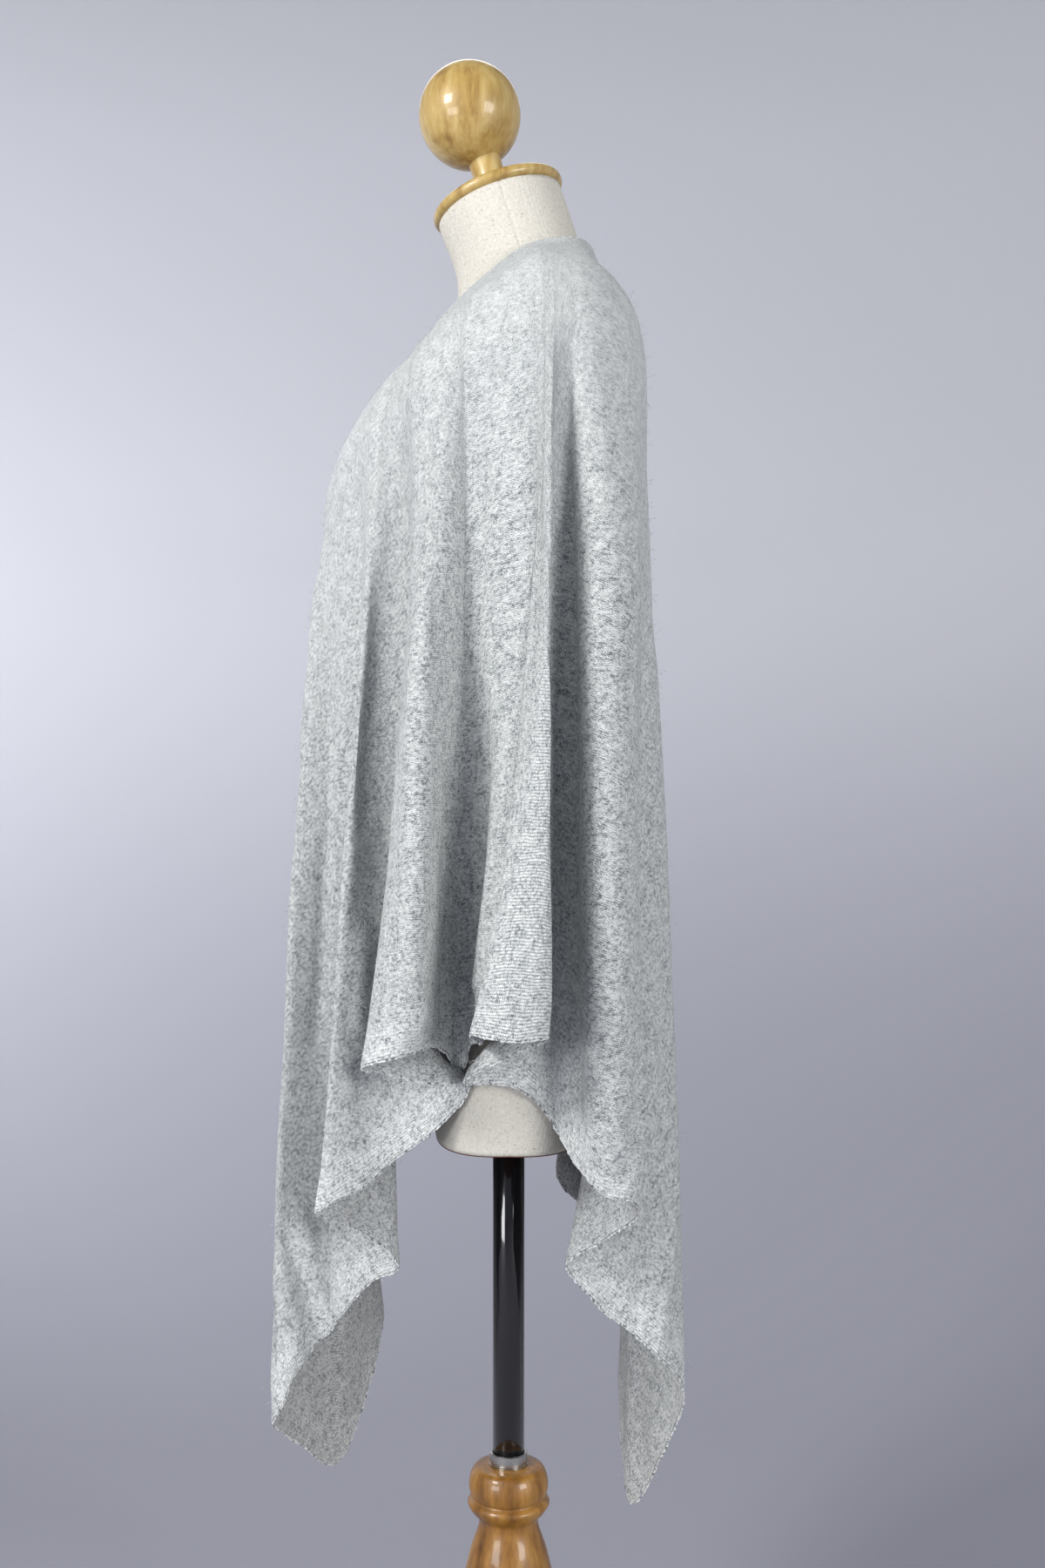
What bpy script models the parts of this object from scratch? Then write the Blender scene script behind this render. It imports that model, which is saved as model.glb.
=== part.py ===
"""A one-seam knitted poncho on a limbless dress form with a turned wooden stand.

Units are metres with +Z up. The origin is on the floor under the pole. The front of the
garment looks along -Y and the wearer's left side is +X.
"""

import math
from collections import namedtuple

import bmesh
import bpy
import numpy as np

# Driving dimensions
CLOTH_WALL = 0.002
SEAM_GAP = 0.0003
JOINT_GAP = 0.0003

BALL_RADIUS = 0.040
BALL_TOP_OPENING = 0.02
STUB_RADIUS = 0.013
STUB_HEIGHT = 0.0265
STUB_FLARE = 0.0015
STUB_FLARE_HEIGHT = 0.004
CAP_RADIUS = 0.0528
CAP_THICKNESS = 0.0090
NECK_TILT = math.radians(18.0)
NECK_TOP = (0.0, -0.0070, 1.3660)

POLE_RADIUS = 0.0125
TORSO_FOOT = 0.645
COLLAR_RADIUS = 0.0170
COLLAR_HEIGHT = 0.012
COLLAR_BEVEL = 0.002
BASE_TOP = 0.378
BASE_TOP_RADIUS = 0.0175
FOOT_RADIUS = 0.185
FOOT_UNDERSIDE_RADIUS = 0.181

ROUND_STEPS = 28
BALL_STEPS = 13
CAP_EDGE_STEPS = 7
TORSO_STEPS = 36
TORSO_LEVELS = 25

# How a ring falls away from the shoulder line: 1 is a sharp ridge, 2 a round arch.
SHOULDER_SLOPE = 1.35

# A ring round the body. Its side, front and back each have a height and a reach, and its
# power squares the plan: 2 is an ellipse.
Ring = namedtuple("Ring", "name half_width side_y side_z front_y front_z back_y back_z power")

TORSO_RINGS = (
    Ring("neck top", 0.0500, -0.0070, 1.3660, -0.0545, 1.3506, 0.0405, 1.3814, 2.0),
    Ring("neck middle", 0.0500, 0.0080, 1.3200, -0.0400, 1.3050, 0.0560, 1.3350, 2.0),
    Ring("neck base", 0.0590, 0.0120, 1.3010, -0.0480, 1.2600, 0.0610, 1.3140, 2.0),
    Ring("yoke", 0.0960, 0.0150, 1.2910, -0.0700, 1.2170, 0.0760, 1.2880, 2.0),
    Ring("shoulder", 0.1410, 0.0180, 1.2730, -0.1100, 1.1450, 0.0940, 1.2460, 2.0),
    Ring("shoulder tip", 0.1765, 0.0190, 1.2490, -0.1335, 1.1190, 0.1005, 1.2160, 2.25),
    Ring("armhole", 0.1885, 0.0190, 1.2140, -0.1335, 1.0930, 0.1005, 1.1780, 2.6),
    Ring("shoulder cap", 0.1830, 0.0160, 1.1780, -0.1290, 1.0660, 0.0970, 1.1460, 2.6),
    Ring("chest", 0.1620, 0.0100, 1.1150, -0.1140, 1.0400, 0.0900, 1.0980, 2.5),
    Ring("under bust", 0.1360, 0.0020, 1.0300, -0.0880, 0.9980, 0.0780, 1.0240, 2.4),
    Ring("waist", 0.1150, -0.0010, 0.9450, -0.0690, 0.9400, 0.0640, 0.9440, 2.3),
    Ring("high hip", 0.1240, -0.0010, 0.8600, -0.0700, 0.8600, 0.0670, 0.8600, 2.4),
    Ring("hip", 0.1310, 0.0000, 0.7700, -0.0700, 0.7700, 0.0680, 0.7700, 2.6),
    Ring("low hip", 0.1310, 0.0000, 0.7000, -0.0640, 0.7000, 0.0630, 0.7000, 2.8),
    Ring("foot", 0.1270, 0.0000, TORSO_FOOT, -0.0560, TORSO_FOOT, 0.0560, TORSO_FOOT, 2.9),
)

# The middle of the cloth where it lies on the neck, the shoulders and the chest. It hangs
# free below the last of these rings.
CLOTH_RINGS = (
    Ring("neckline", 0.0640, 0.0120, 1.3080, -0.0600, 1.2600, 0.0635, 1.3280, 2.0),
    Ring("yoke", 0.1000, 0.0150, 1.2950, -0.0760, 1.2240, 0.0810, 1.2930, 2.0),
    Ring("shoulder", 0.1450, 0.0180, 1.2770, -0.1140, 1.1520, 0.0980, 1.2510, 2.0),
    Ring("shoulder tip", 0.1800, 0.0190, 1.2530, -0.1370, 1.1250, 0.1040, 1.2200, 2.25),
    Ring("hanging edge", 0.1920, 0.0190, 1.2180, -0.1370, 1.0990, 0.1040, 1.1820, 2.6),
)

# The lines along which the cloth hangs, in order round the hem: where each one meets the
# hem, the direction on the shoulders it hangs from (0 left, 90 front, 180 right) and how
# early it swings out to its place: above 0 high up, below 0 near the hem.
Line = namedtuple("Line", "name hem_x hem_y hem_z angle bow")

RIGHT_SEAM = Line("right seam", -0.222, 0.006, 0.790, 180, 0.2)

FRONT_LINES = (
    Line("right arm front edge", -0.212, -0.024, 0.768, 172, 0.2),
    Line("right arm valley", -0.166, -0.036, 0.730, 163, 0.0),
    Line("right arm ridge", -0.200, -0.088, 0.692, 150, 0.3),
    Line("right ridge return", -0.166, -0.084, 0.662, 142, 0.0),
    Line("right inner turn", -0.140, -0.060, 0.634, 135, -0.3),
    Line("right front middle", -0.133, -0.104, 0.604, 128, 0.2),
    Line("right front ridge", -0.140, -0.154, 0.568, 119, 0.6),
    Line("right front return", -0.106, -0.130, 0.520, 112, 0.3),
    Line("front end edge", -0.084, -0.108, 0.470, 106, 0.0),
    Line("front corner edge", -0.066, -0.118, 0.415, 102, 0.2),
    Line("front corner", -0.050, -0.139, 0.358, 97, 0.6),
    Line("front under layer", -0.006, -0.164, 0.392, 86, 0.9),
    Line("front main ridge", 0.060, -0.1765, 0.446, 66, 0.9),
    Line("front upper layer", 0.040, -0.135, 0.500, 53, 0.6),
    Line("front upper bend", 0.044, -0.106, 0.533, 46, 0.4),
    Line("front inner turn", 0.060, -0.082, 0.552, 41.5, 0.2),
    Line("second return", 0.088, -0.108, 0.583, 38, 0.1),
    Line("second ridge", 0.138, -0.131, 0.611, 34, -0.1),
    Line("second layer", 0.120, -0.088, 0.638, 31, 0.5),
    Line("second layer start", 0.122, -0.053, 0.663, 28.5, 0.3),
    Line("flap end", 0.126, -0.040, 0.689, 27, 0.1),
    Line("third return", 0.160, -0.061, 0.703, 25.5, 0.0),
    Line("third return edge", 0.168, -0.088, 0.713, 24, -0.3),
    Line("third ridge", 0.188, -0.095, 0.720, 22, -0.5),
    Line("third crest", 0.200, -0.071, 0.728, 18.5, 0.15),
    Line("third layer", 0.172, -0.051, 0.728, 15.5, 0.4),
    Line("strip valley", 0.134, -0.033, 0.726, 13.0, 0.4),
    Line("strip face", 0.158, -0.023, 0.731, 7.0, 0.0),
    Line("strip under", 0.182, -0.016, 0.735, 2.6, -1.8),
    Line("strip front edge", 0.212, -0.022, 0.740, -0.75, -1.2),
    Line("strip middle", 0.222, 0.003, 0.741, -1.7, -1.0),
    Line("strip back edge", 0.212, 0.027, 0.739, -2.8, -0.3),
)

LEFT_SIDE = Line("left side", 0.186, 0.008, 0.728, -3.7, 0.0)

BACK_LINES = (
    Line("strip hollow", 0.150, -0.007, 0.711, -4.7, -0.1),
    Line("fourth layer start", 0.138, 0.010, 0.698, -5.7, 0.4),
    Line("fourth valley", 0.129, 0.037, 0.664, -7.0, 0.9),
    Line("fourth layer", 0.150, 0.049, 0.644, -9.0, 0.6),
    Line("fourth crest", 0.163, 0.065, 0.628, -14.0, 0.2),
    Line("fourth ridge", 0.138, 0.093, 0.613, -26.0, 0.4),
    Line("fourth return", 0.098, 0.072, 0.580, -36, -0.2),
    Line("back inner turn", 0.074, 0.044, 0.553, -46, -1.0),
    Line("fifth layer", 0.060, 0.078, 0.513, -55, -0.2),
    Line("fifth crest", 0.046, 0.113, 0.478, -65, 0.3),
    Line("back main ridge", 0.020, 0.136, 0.446, -77, 0.4),
    Line("back under layer", -0.018, 0.130, 0.395, -88, 0.6),
    Line("back corner", -0.050, 0.101, 0.326, -97, 0.3),
    Line("back corner edge", -0.060, 0.096, 0.380, -101, 0.0),
    Line("back end edge", -0.074, 0.097, 0.445, -106, 0.0),
    Line("right back ridge", -0.102, 0.130, 0.498, -115, 0.4),
    Line("right back return", -0.106, 0.082, 0.545, -125, -0.4),
    Line("right back turn", -0.098, 0.042, 0.583, -133, -1.0),
    Line("right back middle", -0.146, 0.060, 0.634, -141, -0.2),
    Line("right back arm ridge", -0.184, 0.094, 0.680, -149, 0.3),
    Line("right back arm valley", -0.166, 0.048, 0.732, -162, 0.0),
    Line("right arm back edge", -0.210, 0.036, 0.768, -171, 0.2),
)

CLOTH_TOP_LEVELS = 8

# How far down a hanging line each level of the solid lies, from its top to the hem.
HANGING_LEVELS = (0.07, 0.16, 0.26, 0.37, 0.48, 0.59, 0.70, 0.80, 0.90, 1.0)
COLUMNS_BETWEEN_LINES = 2

# The turned outline of the stand, as radius and height.
Turn = namedtuple("Turn", "name radius height")

STAND_OUTLINE = (
    Turn("upper ring top", 0.0270, 0.3755),
    Turn("upper ring side", 0.0312, 0.3640),
    Turn("upper ring foot", 0.0295, 0.3545),
    Turn("groove", 0.0285, 0.3535),
    Turn("lower ring side", 0.0322, 0.3490),
    Turn("lower ring foot", 0.0290, 0.3425),
    Turn("throat", 0.0232, 0.3350),
    Turn("vase shoulder", 0.0305, 0.3090),
    Turn("vase belly", 0.0400, 0.2640),
    Turn("vase side", 0.0410, 0.2300),
    Turn("vase foot", 0.0290, 0.1650),
    Turn("waist", 0.0225, 0.1320),
    Turn("waist fillet", 0.0240, 0.1180),
    Turn("bead top", 0.0350, 0.1130),
    Turn("bead", 0.0400, 0.1020),
    Turn("bead foot", 0.0350, 0.0915),
    Turn("foot neck", 0.0420, 0.0780),
    Turn("foot slope", 0.0900, 0.0480),
    Turn("foot shoulder", 0.1550, 0.0330),
    Turn("foot edge top", 0.1790, 0.0260),
    Turn("foot edge", FOOT_RADIUS, 0.0160),
    Turn("foot edge low", 0.1830, 0.0040),
)


def clear_scene():
    """Empty the file of its start-up objects."""
    for thing in list(bpy.data.objects):
        bpy.data.objects.remove(thing, do_unlink=True)


def make_material(name, color, roughness, metallic=0.0):
    """Return a Principled material."""
    material = bpy.data.materials.new(name)
    material.use_nodes = True
    shader = material.node_tree.nodes["Principled BSDF"]
    shader.inputs["Base Color"].default_value = (*color, 1.0)
    shader.inputs["Roughness"].default_value = roughness
    shader.inputs["Metallic"].default_value = metallic
    return material


def add_object(name, mesh, material, smooth_angle=40.0):
    """Put a mesh in the scene as one named object with one material."""
    mesh.materials.append(material)
    mesh.shade_smooth()
    mesh.set_sharp_from_angle(angle=math.radians(smooth_angle))
    thing = bpy.data.objects.new(name, mesh)
    bpy.context.scene.collection.objects.link(thing)
    return thing


def spline(knots, values, places):
    """Read a smooth curve through the values at the given places along the knots."""
    knots = np.asarray(knots, float)
    values = np.asarray(values, float)
    places = np.asarray(places, float)
    gaps = np.diff(knots)
    steps = np.diff(values, axis=0) / gaps[:, None]
    inner = (steps[1:] * gaps[:-1, None] + steps[:-1] * gaps[1:, None]) / (gaps[1:] + gaps[:-1])[:, None]
    slopes = np.concatenate([steps[:1], inner, steps[-1:]])
    cell = np.clip(np.searchsorted(knots, places, side="right") - 1, 0, len(gaps) - 1)
    width = gaps[cell][:, None]
    t = ((places - knots[cell]) / gaps[cell])[:, None]
    start = (2 * t**3 - 3 * t**2 + 1) * values[cell] + (t**3 - 2 * t**2 + t) * width * slopes[cell]
    end = (3 * t**2 - 2 * t**3) * values[cell + 1] + (t**3 - t**2) * width * slopes[cell + 1]
    return start + end


def ring_points(ring, angles):
    """Return the points of a body ring in the given directions, in radians from the left."""
    across = np.cos(angles)
    forward = np.sin(angles)
    reach = np.where(forward > 0, ring.side_y - ring.front_y, ring.back_y - ring.side_y)
    sides = np.abs(across / ring.half_width) ** ring.power
    ends = np.abs(forward / reach) ** ring.power
    radius = (sides + ends) ** (-1 / ring.power)
    tilt = (ring.back_z - ring.front_z) / 2
    bend = (ring.front_z + ring.back_z) / 2 - ring.side_z
    height = ring.side_z - tilt * forward + bend * np.abs(forward) ** SHOULDER_SLOPE
    return np.stack([radius * across, ring.side_y - radius * forward, height], axis=1)


def rings_between(rings, count):
    """Read the given number of rings, evenly spaced, from a smooth run through a table of them."""
    knots = np.arange(len(rings))
    table = [ring[1:] for ring in rings]
    return [Ring("between", *row) for row in spline(knots, table, np.linspace(0, knots[-1], count))]


def hanging_lines():
    """Return every hanging line from the right seam round the front to the seam again."""
    last = RIGHT_SEAM._replace(angle=-RIGHT_SEAM.angle)
    return (RIGHT_SEAM, *FRONT_LINES, LEFT_SIDE, *BACK_LINES, last)


def line_knots(lines):
    """Space the lines by the root of the hem's length between them, which keeps turns round."""
    hem = np.array([(line.hem_x, line.hem_y, line.hem_z) for line in lines])
    runs = np.linalg.norm(np.diff(hem, axis=0), axis=1)
    return np.concatenate([[0.0], np.cumsum(np.sqrt(runs))])


def cloth_grid(lines, places, levels):
    """Return the middle surface of the cloth, as levels from neck to hem by columns."""
    knots = line_knots(lines)
    table = [(line.hem_x, line.hem_y, line.hem_z, line.angle, line.bow) for line in lines]
    read = spline(knots, table, places)
    hem = read[:, :3]
    angles = np.radians(read[:, 3])
    bow = read[:, 4:5]
    rows = [ring_points(ring, angles) for ring in rings_between(CLOTH_RINGS, CLOTH_TOP_LEVELS)]
    top = rows[-1]
    for level in levels:
        swing = level + bow * level * (1 - level)
        row = top + (hem - top) * swing
        row[:, 2] = top[:, 2] + (hem[:, 2] - top[:, 2]) * level
        rows.append(row)
    return np.stack(rows)


def surface_normals(grid):
    """Return the outward unit normals of a grid whose first and last columns meet."""
    down = np.gradient(grid, axis=0)
    along = np.gradient(grid, axis=1)
    for field in (down, along):
        field[:, 0] = field[:, -1] = (field[:, 0] + field[:, -1]) / 2
    normals = np.cross(down, along)
    return normals / np.linalg.norm(normals, axis=2, keepdims=True)


def pull_in_edges(grid):
    """Draw both side edges of a panel back by half the seam gap."""
    pulled = grid.copy()
    for edge, beside in ((0, 1), (-1, -2)):
        step = grid[:, beside] - grid[:, edge]
        step /= np.linalg.norm(step, axis=1, keepdims=True)
        pulled[:, edge] += step * SEAM_GAP / 2
    return pulled


def make_wall(name, middle, normals, material):
    """Build a closed cloth wall on both sides of a grid of middle points."""
    levels, columns = middle.shape[:2]
    outer = middle + normals * CLOTH_WALL / 2
    inner = middle - normals * CLOTH_WALL / 2
    points = np.concatenate([outer.reshape(-1, 3), inner.reshape(-1, 3)])
    index = np.arange(levels * columns).reshape(levels, columns)
    back = index + levels * columns
    faces = []
    for i in range(levels - 1):
        for j in range(columns - 1):
            faces.append((index[i, j], index[i + 1, j], index[i + 1, j + 1], index[i, j + 1]))
            faces.append((back[i, j], back[i, j + 1], back[i + 1, j + 1], back[i + 1, j]))
    for j in range(columns - 1):
        faces.append((index[0, j], index[0, j + 1], back[0, j + 1], back[0, j]))
        faces.append((index[-1, j], back[-1, j], back[-1, j + 1], index[-1, j + 1]))
    for i in range(levels - 1):
        faces.append((index[i, 0], back[i, 0], back[i + 1, 0], index[i + 1, 0]))
        faces.append((index[i, -1], index[i + 1, -1], back[i + 1, -1], back[i, -1]))
    mesh = bpy.data.meshes.new(name)
    mesh.from_pydata(points.tolist(), [], [tuple(int(k) for k in face) for face in faces])
    mesh.validate()
    return add_object(name, mesh, material, 60.0)


def make_poncho(material):
    """Build the front and the back as two walls that meet at the side and at the seam."""
    lines = hanging_lines()
    knots = line_knots(lines)
    steps = np.arange(COLUMNS_BETWEEN_LINES) / COLUMNS_BETWEEN_LINES
    inside = (knots[:-1, None] + np.diff(knots)[:, None] * steps).ravel()
    places = np.append(inside, knots[-1])
    grid = cloth_grid(lines, places, HANGING_LEVELS)
    normals = surface_normals(grid)
    side = (1 + len(FRONT_LINES)) * COLUMNS_BETWEEN_LINES
    parts = (("poncho_front", 0, side + 1), ("poncho_back", side, len(places)))
    for name, first, last in parts:
        middle = pull_in_edges(grid[:, first:last])
        make_wall(name, middle, normals[:, first:last], material)


def loft(name, rings, material, smooth_angle=40.0):
    """Skin a stack of closed rings, from the top down, and cap both ends."""
    count = len(rings[0])
    points = np.concatenate(rings)
    faces = []
    for i in range(len(rings) - 1):
        for j in range(count):
            after = (j + 1) % count
            upper = i * count
            lower = upper + count
            faces.append((upper + j, lower + j, lower + after, upper + after))
    faces.append(tuple(range(count)))
    faces.append(tuple(reversed(range((len(rings) - 1) * count, len(rings) * count))))
    mesh = bpy.data.meshes.new(name)
    mesh.from_pydata(points.tolist(), [], faces)
    outward(mesh)
    return add_object(name, mesh, material, smooth_angle)


def outward(mesh):
    """Turn every face of a closed mesh outward."""
    work = bmesh.new()
    work.from_mesh(mesh)
    bmesh.ops.recalc_face_normals(work, faces=work.faces)
    work.to_mesh(mesh)
    work.free()


def make_torso(material):
    """Build the limbless torso from its rings."""
    angles = np.linspace(0, 2 * math.pi, TORSO_STEPS, endpoint=False)
    angles = (angles + math.pi) % (2 * math.pi) - math.pi
    rings = [ring_points(ring, angles) for ring in rings_between(TORSO_RINGS, TORSO_LEVELS)]
    return loft("torso", rings, material, 60.0)


def turned(name, outline, material, smooth_angle=50.0):
    """Turn an outline of radius and height round the Z axis, from the top down."""
    angles = np.linspace(0, 2 * math.pi, ROUND_STEPS, endpoint=False)
    rings = []
    for radius, height in outline:
        level = np.full_like(angles, height)
        rings.append(np.stack([radius * np.cos(angles), radius * np.sin(angles), level], axis=1))
    return loft(name, rings, material, smooth_angle)


def on_neck(thing, distance):
    """Move a turned piece on to the tilted axis of the neck, at a distance above its top."""
    axis = (0.0, -math.sin(NECK_TILT), math.cos(NECK_TILT))
    thing.location = [NECK_TOP[k] + axis[k] * distance for k in range(3)]
    thing.rotation_euler = (NECK_TILT, 0.0, 0.0)
    return thing


def make_neck_cap(material):
    """Build the round wooden plate on the neck, with a rounded edge."""
    edge = CAP_THICKNESS / 2
    outline = []
    for turn in np.linspace(math.pi / 2, -math.pi / 2, CAP_EDGE_STEPS):
        outline.append((CAP_RADIUS - edge + edge * math.cos(turn), edge + edge * math.sin(turn)))
    return on_neck(turned("neck_cap", outline, material), JOINT_GAP)


def make_finial(material):
    """Build the ball and the short stub that carries it, as one turned piece."""
    stub_foot = CAP_THICKNESS + 2 * JOINT_GAP
    centre = stub_foot + STUB_HEIGHT + BALL_RADIUS
    meeting = math.pi - math.asin(STUB_RADIUS / BALL_RADIUS)
    outline = []
    for turn in np.linspace(BALL_TOP_OPENING, meeting, BALL_STEPS):
        outline.append((BALL_RADIUS * math.sin(turn), centre + BALL_RADIUS * math.cos(turn)))
    outline.append((STUB_RADIUS, stub_foot + STUB_FLARE_HEIGHT))
    outline.append((STUB_RADIUS + STUB_FLARE, stub_foot))
    return on_neck(turned("ball_finial", outline, material), 0.0)


def make_stand(wood, pole_paint, chrome):
    """Build the pole, its collar and the turned wooden stand."""
    pole_foot = BASE_TOP + JOINT_GAP
    pole = ((POLE_RADIUS, TORSO_FOOT - JOINT_GAP), (POLE_RADIUS, pole_foot))
    turned("pole", pole, pole_paint)
    outline = [(BASE_TOP_RADIUS, BASE_TOP)]
    outline += [(turn.radius, turn.height) for turn in STAND_OUTLINE]
    outline.append((FOOT_UNDERSIDE_RADIUS, 0.0))
    turned("stand", outline, wood)
    make_collar(pole_foot, chrome)


def make_collar(foot, chrome):
    """Build the chrome ring that grips the pole on top of the stand."""
    inside = POLE_RADIUS + JOINT_GAP
    section = (
        (inside, foot),
        (COLLAR_RADIUS, foot),
        (COLLAR_RADIUS, foot + COLLAR_HEIGHT - COLLAR_BEVEL),
        (COLLAR_RADIUS - COLLAR_BEVEL, foot + COLLAR_HEIGHT),
        (inside, foot + COLLAR_HEIGHT),
    )
    angles = np.linspace(0, 2 * math.pi, ROUND_STEPS, endpoint=False)
    points = [(r * math.cos(a), r * math.sin(a), z) for a in angles for r, z in section]
    count = len(section)
    faces = []
    for i in range(ROUND_STEPS):
        for j in range(count):
            here = i * count
            after = ((i + 1) % ROUND_STEPS) * count
            beside = (j + 1) % count
            faces.append((here + j, after + j, after + beside, here + beside))
    mesh = bpy.data.meshes.new("pole_collar")
    mesh.from_pydata(points, [], faces)
    outward(mesh)
    return add_object("pole_collar", mesh, chrome)


def main():
    clear_scene()
    knit = make_material("heather grey knit", (0.60, 0.61, 0.62), 0.95)
    linen = make_material("natural linen", (0.74, 0.70, 0.62), 0.9)
    pale_wood = make_material("pale lacquered wood", (0.62, 0.38, 0.17), 0.3)
    dark_wood = make_material("amber lacquered wood", (0.42, 0.20, 0.07), 0.3)
    pole_paint = make_material("black gloss pole", (0.02, 0.02, 0.024), 0.15)
    chrome = make_material("chrome", (0.8, 0.8, 0.8), 0.15, 1.0)
    make_poncho(knit)
    make_torso(linen)
    make_neck_cap(pale_wood)
    make_finial(pale_wood)
    make_stand(dark_wood, pole_paint, chrome)


main()
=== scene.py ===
import math
from collections import namedtuple
from functools import partial

import bmesh
import bpy
import numpy as np
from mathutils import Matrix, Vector


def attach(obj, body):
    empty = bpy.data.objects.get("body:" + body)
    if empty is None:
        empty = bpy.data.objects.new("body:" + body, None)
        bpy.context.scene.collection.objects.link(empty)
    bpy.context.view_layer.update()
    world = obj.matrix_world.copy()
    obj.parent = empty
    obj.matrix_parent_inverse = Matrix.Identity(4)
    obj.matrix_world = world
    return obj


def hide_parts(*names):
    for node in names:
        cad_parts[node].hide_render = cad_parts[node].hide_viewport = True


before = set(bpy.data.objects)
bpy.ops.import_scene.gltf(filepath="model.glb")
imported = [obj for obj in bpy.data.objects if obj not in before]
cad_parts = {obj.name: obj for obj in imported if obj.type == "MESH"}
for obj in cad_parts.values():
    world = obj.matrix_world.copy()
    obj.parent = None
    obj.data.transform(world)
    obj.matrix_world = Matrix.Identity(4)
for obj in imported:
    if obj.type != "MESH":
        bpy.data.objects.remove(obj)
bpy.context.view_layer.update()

scene = bpy.context.scene
print("frame loaded:", ", ".join(sorted(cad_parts)))


def linear(hexColour):
    # an sRGB hex value as linear red, green, blue, alpha
    parts = [int(hexColour[i:i + 2], 16) / 255 for i in (1, 3, 5)]
    bent = [c / 12.92 if c <= 0.04045 else ((c + 0.055) / 1.055) ** 2.4 for c in parts]
    return (*bent, 1.0)


def setNode(tree, node, settings, links):
    # sets a node's properties, sockets, ramp stops or mapped range, and links its inputs
    for key, value in settings.items():
        if key == "stops":
            ramp = node.color_ramp
            while len(ramp.elements) < len(value):
                ramp.elements.new(0.5)
            for element, (place, colour) in zip(ramp.elements, value):
                element.position = place
                element.color = linear(colour)
        elif key == "range":
            for socket, limit in zip(node.inputs[1:5], value):
                socket.default_value = limit
        elif isinstance(key, str) and hasattr(node, key):
            setattr(node, key, value)
        else:
            node.inputs[key].default_value = value
    for key, source in links.items():
        socket = source.outputs[0] if isinstance(source, bpy.types.Node) else source
        tree.links.new(socket, node.inputs[key])


def addNode(tree, kind, settings=None, links=None):
    # a kind that doesn't say Node is a shader node
    node = tree.nodes.new(kind if "Node" in kind else "ShaderNode" + kind)
    setNode(tree, node, settings or {}, links or {})
    return node


def newMaterial(name, flatMap=None):
    # a material, what adds a node to it and what sets its shader, and the place its pattern is drawn from
    material = bpy.data.materials.new(name)
    material.use_nodes = True
    tree = material.node_tree
    add = partial(addNode, tree)
    if flatMap:
        place = add("UVMap", {"uv_map": flatMap}).outputs[0]
    else:
        place = add("TexCoord").outputs["Object"]
    return material, add, partial(setNode, tree, tree.nodes["Principled BSDF"]), place


def addObject(name, data, *materials):
    for material in materials:
        data.materials.append(material)
    thing = bpy.data.objects.new(name, data)
    scene.collection.objects.link(thing)
    return thing


def placePiece(thing, slot, *nodes):
    # the solids a piece stands for, its material slot, which is not used, and the body it rides on
    if nodes:
        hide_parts(*nodes)
    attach(thing, "root")


def spline(knots, values, places):
    # a smooth curve through the values, with knots any distance apart
    knots, values, places = (np.asarray(x, float) for x in (knots, values, places))
    gaps = np.diff(knots)
    steps = np.diff(values, axis=0) / gaps[:, None]
    before, after = gaps[:-1, None], gaps[1:, None]
    inner = (steps[1:] * before + steps[:-1] * after) / (after + before)
    slopes = np.concatenate([steps[:1], inner, steps[-1:]])
    cell = np.clip(np.searchsorted(knots, places, side="right") - 1, 0, len(gaps) - 1)
    width = gaps[cell][:, None]
    t = ((places - knots[cell]) / gaps[cell])[:, None]
    start = (2 * t**3 - 3 * t**2 + 1) * values[cell] + (t**3 - 2 * t**2 + t) * width * slopes[cell]
    end = (3 * t**2 - 2 * t**3) * values[cell + 1] + (t**3 - t**2) * width * slopes[cell + 1]
    return start + end


def inMetres(kind, count, rows):
    # named rows of a table: each has its name, then so many sizes in millimetres, then the rest
    return [kind(row[0], *(size / 1000 for size in row[1:count + 1]), *row[count + 1:]) for row in rows]


def stepLengths(points):
    return np.linalg.norm(np.diff(points, axis=0), axis=-1)


def runningSum(steps):
    return np.concatenate([[0.0], np.cumsum(steps)])


def quads(*corners):
    # four-sided faces from four arrays of their corners
    return np.stack(corners, axis=-1).reshape(-1, 4)


def spinProfile(name, profile, closed, steps):
    # turns a profile of radius and height round the upright axis
    angles = np.linspace(0, math.tau, steps, endpoint=False)
    circle = np.stack([np.cos(angles), np.sin(angles), np.zeros_like(angles)], axis=1)
    rings = [circle * radius + (0, 0, height) for radius, height in profile]
    index = np.arange(len(rings) * steps).reshape(-1, steps)
    below = np.roll(index, -1, axis=0)
    faces = quads(index, below, np.roll(below, -1, axis=1), np.roll(index, -1, axis=1))
    if not closed:
        faces = faces[:-steps]
    mesh = bpy.data.meshes.new(name)
    mesh.from_pydata(np.concatenate(rings).tolist(), [], faces.tolist())
    work = bmesh.new()
    work.from_mesh(mesh)
    bmesh.ops.remove_doubles(work, verts=work.verts, dist=studio["weld"])
    bmesh.ops.recalc_face_normals(work, faces=work.faces)
    if not closed and sum(face.normal.z for face in work.faces) < 0:
        bmesh.ops.reverse_faces(work, faces=work.faces)
    work.to_mesh(mesh)
    work.free()
    mesh.shade_smooth()
    return mesh


def fade(x, low, high):
    # 0 below low, 1 above high, with a soft step between
    t = np.clip((x - low) / (high - low), 0, 1)
    return t * t * (3 - 2 * t)


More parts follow.
